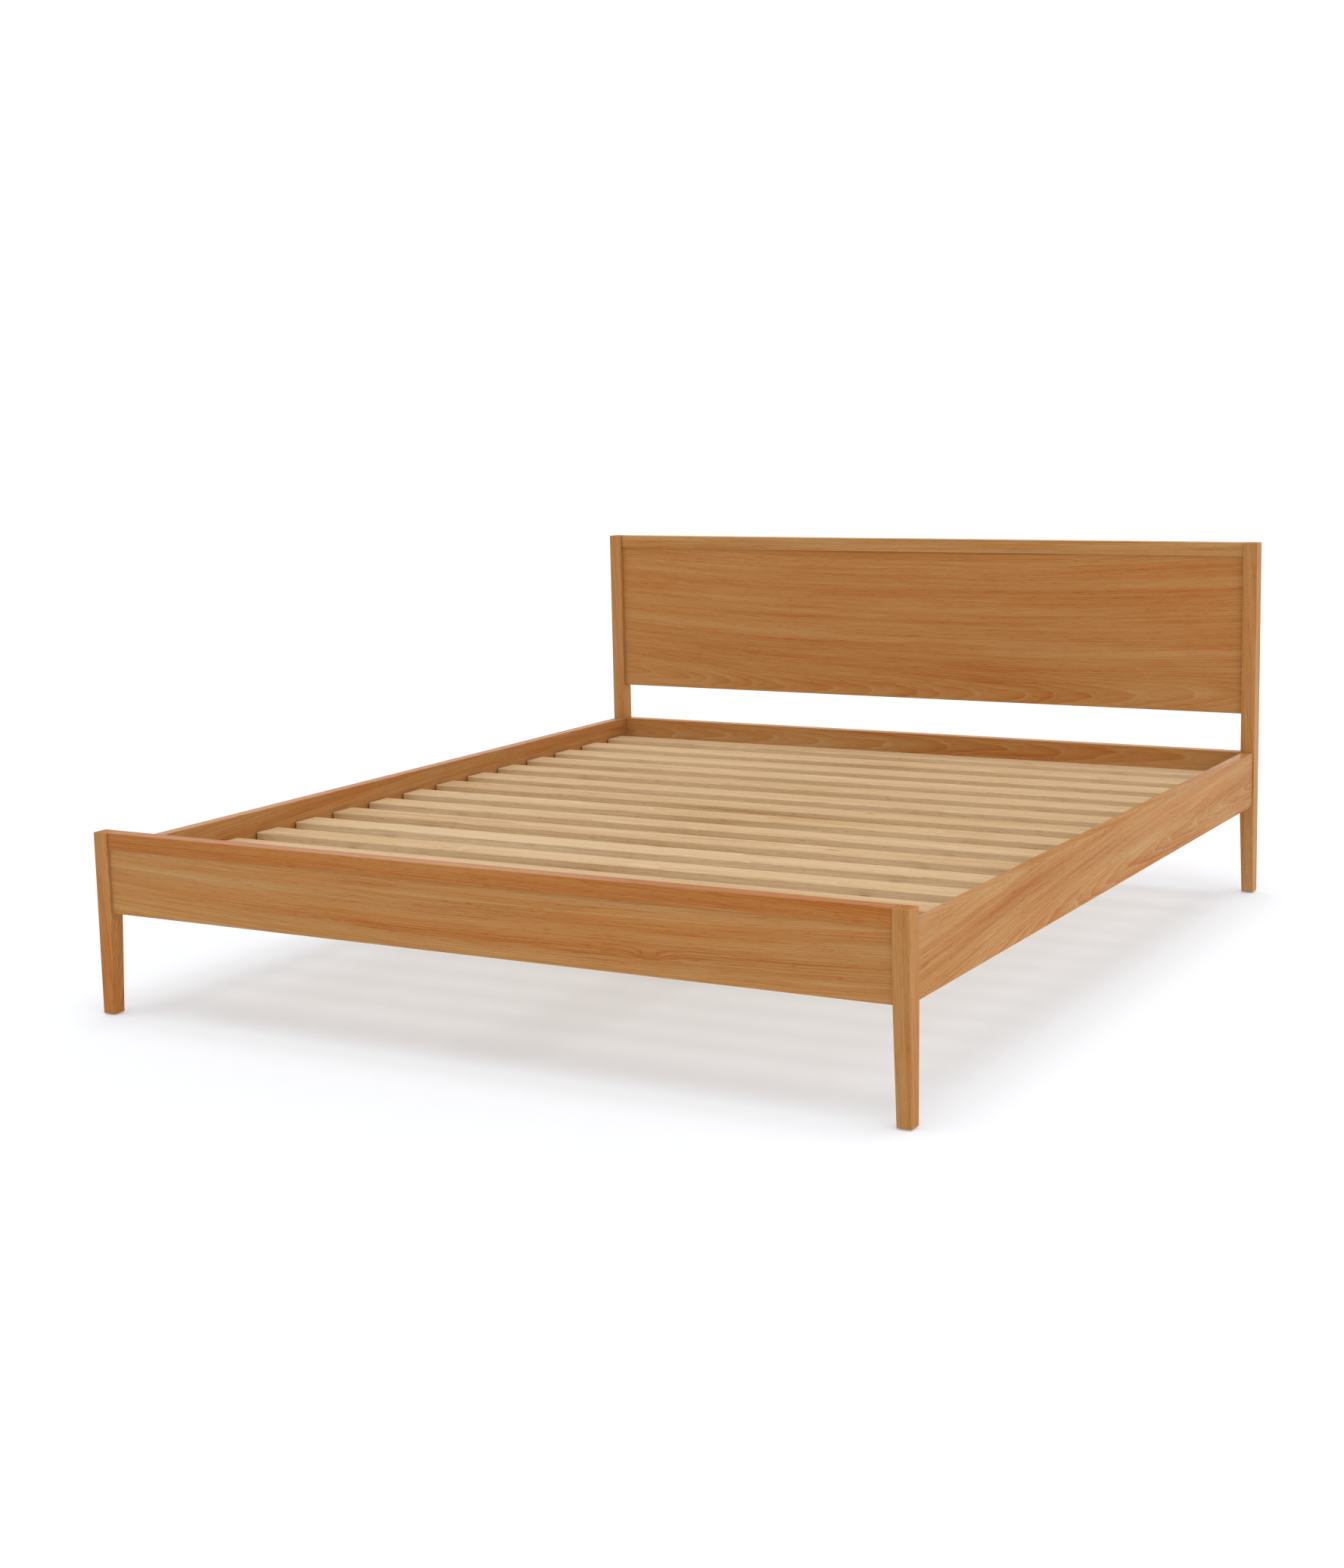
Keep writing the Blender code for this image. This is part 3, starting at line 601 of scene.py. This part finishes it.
# how far in from the rim, and how high: a rounded lower edge, then a softer upper one
DISC_OUTLINE = [(DISC_EDGE, 0.0), (0.3 * DISC_EDGE, 0.3 * DISC_EDGE), (0.0, DISC_EDGE),
                (0.0, DISC_TOP - 0.0012), (0.0004, DISC_TOP - 0.0004),
                (0.0012, DISC_TOP - 0.0001), (0.0040, DISC_TOP)]
HEX_RADIUS = 0.0075         # over the corners of the spanner flats
HEX_TOP = 0.0070
HEX_CHAMFER = 0.0006
HEX_OUTLINE = [(HEX_RADIUS, 0.5 * DISC_TOP), (HEX_RADIUS, HEX_TOP - HEX_CHAMFER),
               (HEX_RADIUS - HEX_CHAMFER, HEX_TOP)]


def thread_rings(radius, low, high):
    """Rings of a rod that carries a screw thread, pointed a little at its top."""
    rings = []
    count = round((high - low) / THREAD_PITCH * THREAD_ROWS)
    for row in range(count + 1):
        height = low + (high - low) * row / count
        fade = min(1.0, (high - height) / THREAD_PITCH)
        ring = []
        for index in range(THREAD_SIDES):
            share = index / THREAD_SIDES
            tooth = abs((height / THREAD_PITCH - share) % 1.0 - 0.5) * 2
            reach = radius - THREAD_DEPTH * (1.0 - fade * (1.0 - tooth))
            ring.append((reach * math.cos(math.tau * share), reach * math.sin(math.tau * share),
                         height))
        rings.append(ring)
    return rings


def make_levelling_foot(end):
    """Pressed disc, spanner flats and threaded stem, in place of the plain CAD foot."""
    node = f"leveller_{end}"
    low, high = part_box(node)
    radius, height = (high.x - low.x) / 2, high.z - low.z
    shape = bmesh.new()
    loft(shape, [round_ring(radius - inset, z, DISC_SIDES) for inset, z in DISC_OUTLINE])
    loft(shape, [round_ring(reach, z, 6) for reach, z in HEX_OUTLINE])
    loft(shape, thread_rings(STEM_RADIUS, STEM_BOTTOM, height))
    bmesh.ops.translate(shape, verts=shape.verts,
                        vec=Vector(((low.x + high.x) / 2, (low.y + high.y) / 2, low.z)))
    add_piece(f"levelling_foot_{end}", finished_mesh(shape, node), STEEL_UP, f"{end}_leveller",
              [node])


# ---------------------------------------------------------------- screws
RECESS_LENGTH = 0.0046
RECESS_WIDTH = 0.0011
RECESS_DEPTH = 0.0019
RECESS_TAPER = 0.45         # size of its bottom as a share of its mouth
RECESS_TURN = 0.4           # how far the cross is turned on the head, in radians
CUTTER_ABOVE = 0.0005       # how far the cutter stands out of the head
SCREW_SIDES = 40
# outlines from the tip to the head's top, as (radius, height); 0 is under or level with the head
COUNTERSUNK = [(0.0003, -0.0380), (0.0020, -0.0350), (0.0020, -0.0022), (0.0041, -0.0003),
               (0.0042, -0.0001), (0.0041, 0.0)]
PAN_HEAD = [(0.0003, -0.0140), (0.0020, -0.0120), (0.0020, 0.0), (0.0040, 0.0), (0.0040, 0.0007),
            (0.0037, 0.0014), (0.0030, 0.0020), (0.0020, 0.0023), (0.0008, 0.0024)]


def recess_bar(turn, top):
    """One arm of a cross recess, narrower towards its bottom."""
    shape = bmesh.new()
    for corner in bmesh.ops.create_cube(shape, size=1.0)["verts"]:
        taper = 1.0 if corner.co.z > 0 else RECESS_TAPER
        corner.co.x *= RECESS_LENGTH * taper
        corner.co.y *= RECESS_WIDTH * taper
        corner.co.z = top + CUTTER_ABOVE if corner.co.z > 0 else top - RECESS_DEPTH
    bmesh.ops.rotate(shape, verts=shape.verts, cent=(0, 0, 0), matrix=Matrix.Rotation(turn, 3, "Z"))
    mesh = bpy.data.meshes.new("recess_bar")
    shape.to_mesh(mesh)
    shape.free()
    return bpy.data.objects.new("recess_bar", mesh)


def screw_mesh(name, outline):
    """A turned screw that points down, with a cross recess cut into its head."""
    shape = bmesh.new()
    loft(shape, [round_ring(radius, height, SCREW_SIDES) for radius, height in outline])
    screw = bpy.data.objects.new(name, finished_mesh(shape, name))
    bars = [recess_bar(turn, outline[-1][1]) for turn in (RECESS_TURN, RECESS_TURN + math.pi / 2)]
    for piece in (screw, *bars):
        bpy.context.scene.collection.objects.link(piece)
    for bar in bars:
        cut = screw.modifiers.new("recess", "BOOLEAN")
        cut.operation = "DIFFERENCE"
        cut.object = bar
    evaluated = screw.evaluated_get(bpy.context.evaluated_depsgraph_get())
    mesh = bpy.data.meshes.new_from_object(evaluated)
    for piece in (screw, *bars):
        bpy.data.objects.remove(piece, do_unlink=True)
    mesh.set_sharp_from_angle(angle=SHARP_ANGLE)
    return mesh


def standing(mesh, at, direction):
    """A copy of a screw's mesh at a point, its head towards a direction."""
    turned_to = Vector(direction).to_track_quat("Z", "X").to_matrix().to_4x4()
    copy = mesh.copy()
    copy.transform(Matrix.Translation(at) @ turned_to)
    return copy


def make_screws():
    countersunk = screw_mesh("countersunk", COUNTERSUNK)
    pan_head = screw_mesh("pan_head", PAN_HEAD)
    for end, direction in (("foot", 1), ("head", -1)):
        for side in ("left", "right"):
            node = f"slat_screw_{end}_{side}"
            low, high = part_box(node)
            at = ((low.x + high.x) / 2, (low.y + high.y) / 2, high.z)
            add_piece(f"wood_screw_{end}_{side}", standing(countersunk, at, (0, 0, 1)), STEEL_UP,
                      "frame", [node])
            node = f"hanger_screw_{end}_{side}"
            low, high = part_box(node)
            head_y = high.y if direction > 0 else low.y
            at = ((low.x + high.x) / 2, head_y - direction * PAN_HEAD[-1][1], (low.z + high.z) / 2)
            add_piece(f"stirrup_screw_{end}_{side}", standing(pan_head, at, (0, direction, 0)),
                      STEEL_ACROSS, "frame", [node])


def make_ledger_screws(side, inwards):
    """Screw heads along a ledger's inner face, halfway between every other pair of slats."""
    low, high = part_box(f"slat_ledger_{side}")
    x = high.x if inwards > 0 else low.x
    head = screw_mesh("ledger_screw", PAN_HEAD)
    boxes = slat_boxes()
    shape = bmesh.new()
    for (_, before), (after, _) in list(zip(boxes, boxes[1:]))[::2]:
        at = (x, (before.y + after.y) / 2, (low.z + high.z) / 2)
        shape.from_mesh(standing(head, at, (inwards, 0, 0)))
    add_piece(f"ledger_screws_{side}", finished_mesh(shape, f"ledger_screws_{side}"), STEEL_UP,
              "frame")


# ---------------------------------------------------------------- floor, light and camera
FLOOR_COLOUR = (0.715, 0.745, 0.785, 1.0)   # a little blue, against the warm light off the wood
FLOOR_GLOW = 0.22                           # keeps the open floor white and the shadow pale
WHITE = (1.0, 1.0, 1.0)
DIM_WHITE = (0.48, 0.48, 0.49)
ROOM_STRENGTH = 1.03
OVERHEAD_STRENGTH = 1.27
OVERHEAD_SIZE = math.radians(48)            # as seen from the bed
OVERHEAD_TILT = (math.radians(3), math.radians(2), 0.0)
FILL_SIZE = (3.6, 2.4)
FILL_POWER = 26.0
FILL_AT = (4.8, 0.2, 1.25)
FILL_TOWARDS = (0.2, 0.0, 0.2)


def make_floor():
    mesh = bpy.data.meshes.new("studio_floor")
    shape = bmesh.new()
    bmesh.ops.create_grid(shape, x_segments=1, y_segments=1, size=40.0)
    shape.to_mesh(mesh)
    shape.free()
    floor = bpy.data.objects.new("studio_floor", mesh)
    bpy.context.scene.collection.objects.link(floor)
    shade = Shade("studio_floor")
    shade.finish(Base_Color=FLOOR_COLOUR, Roughness=0.9, Specular_IOR_Level=0.0,
                 Emission_Color=(*WHITE, 1.0), Emission_Strength=FLOOR_GLOW)
    mesh.materials.append(shade.material)


def make_world():
    """A white room, dimmer overhead and brightest low down behind the bed."""
    world = bpy.data.worlds.new("studio")
    world.use_nodes = True
    sky = Nodes(world.node_tree)
    _, behind, up = sky.point("Generated")
    band = sky.times(sky.smooth(behind, 0.3, 0.9), sky.smooth(up, 0.50, 0.25))
    background = world.node_tree.nodes["Background"]
    sky.feed(background.inputs["Color"], sky.ramp(up, [(0.30, WHITE), (0.95, DIM_WHITE)]))
    sky.feed(background.inputs["Strength"], sky.add(band, ROOM_STRENGTH))
    bpy.context.scene.world = world


def make_lights():
    """One very large soft light overhead, a little to the foot end and the right, and a weak fill."""
    light = bpy.data.lights.new("overhead", "SUN")
    light.energy = OVERHEAD_STRENGTH
    light.angle = OVERHEAD_SIZE
    lamp = bpy.data.objects.new("overhead", light)
    lamp.rotation_euler = OVERHEAD_TILT
    bpy.context.scene.collection.objects.link(lamp)
    light = bpy.data.lights.new("right_fill", "AREA")
    light.shape = "RECTANGLE"
    light.size, light.size_y = FILL_SIZE
    light.energy = FILL_POWER
    light.specular_factor = 0.0
    lamp = bpy.data.objects.new("right_fill", light)
    lamp.location = FILL_AT
    towards = Vector(FILL_TOWARDS) - lamp.location
    lamp.rotation_euler = towards.to_track_quat("-Z", "Y").to_euler()
    bpy.context.scene.collection.objects.link(lamp)


CAMERA_AT = (2.5721, -4.8032, 1.3009)
CAMERA_AZIMUTH = math.radians(29.571)
CAMERA_DOWN = math.radians(8.548)
CAMERA_ROLL = math.radians(-1.252)
CAMERA_LENS = 53.55
CAMERA_SHIFT = (0.00053, -0.02235)


def make_camera():
    camera = bpy.data.cameras.new("camera")
    camera.lens = CAMERA_LENS
    camera.sensor_width = 36.0
    camera.shift_x, camera.shift_y = CAMERA_SHIFT
    level, down = math.cos(CAMERA_DOWN), math.sin(CAMERA_DOWN)
    forward = Vector((-math.sin(CAMERA_AZIMUTH) * level, math.cos(CAMERA_AZIMUTH) * level, -down))
    right = Vector((math.cos(CAMERA_AZIMUTH), math.sin(CAMERA_AZIMUTH), 0.0))
    up = right.cross(forward)
    turned_right = right * math.cos(CAMERA_ROLL) + up * math.sin(CAMERA_ROLL)
    turned_up = up * math.cos(CAMERA_ROLL) - right * math.sin(CAMERA_ROLL)
    axes = Matrix((turned_right, turned_up, -forward)).transposed()
    stand = bpy.data.objects.new("camera", camera)
    stand.matrix_world = Matrix.Translation(CAMERA_AT) @ axes.to_4x4()
    bpy.context.scene.collection.objects.link(stand)
    bpy.context.scene.camera = stand


# ---------------------------------------------------------------- assembly
make_camera()
make_world()
make_lights()
make_floor()
dress_show_wood()
dress_slat_wood()
dress_hardware()
webbing_cloth = webbing_material()
for side, inwards in (("left", 1), ("right", -1)):
    make_webbing(side, webbing_cloth)
    make_staples(side)
    make_ledger_screws(side, inwards)
for end in ("foot", "head"):
    make_levelling_foot(end)
make_screws()
bpy.context.scene.view_settings.view_transform = "Standard"
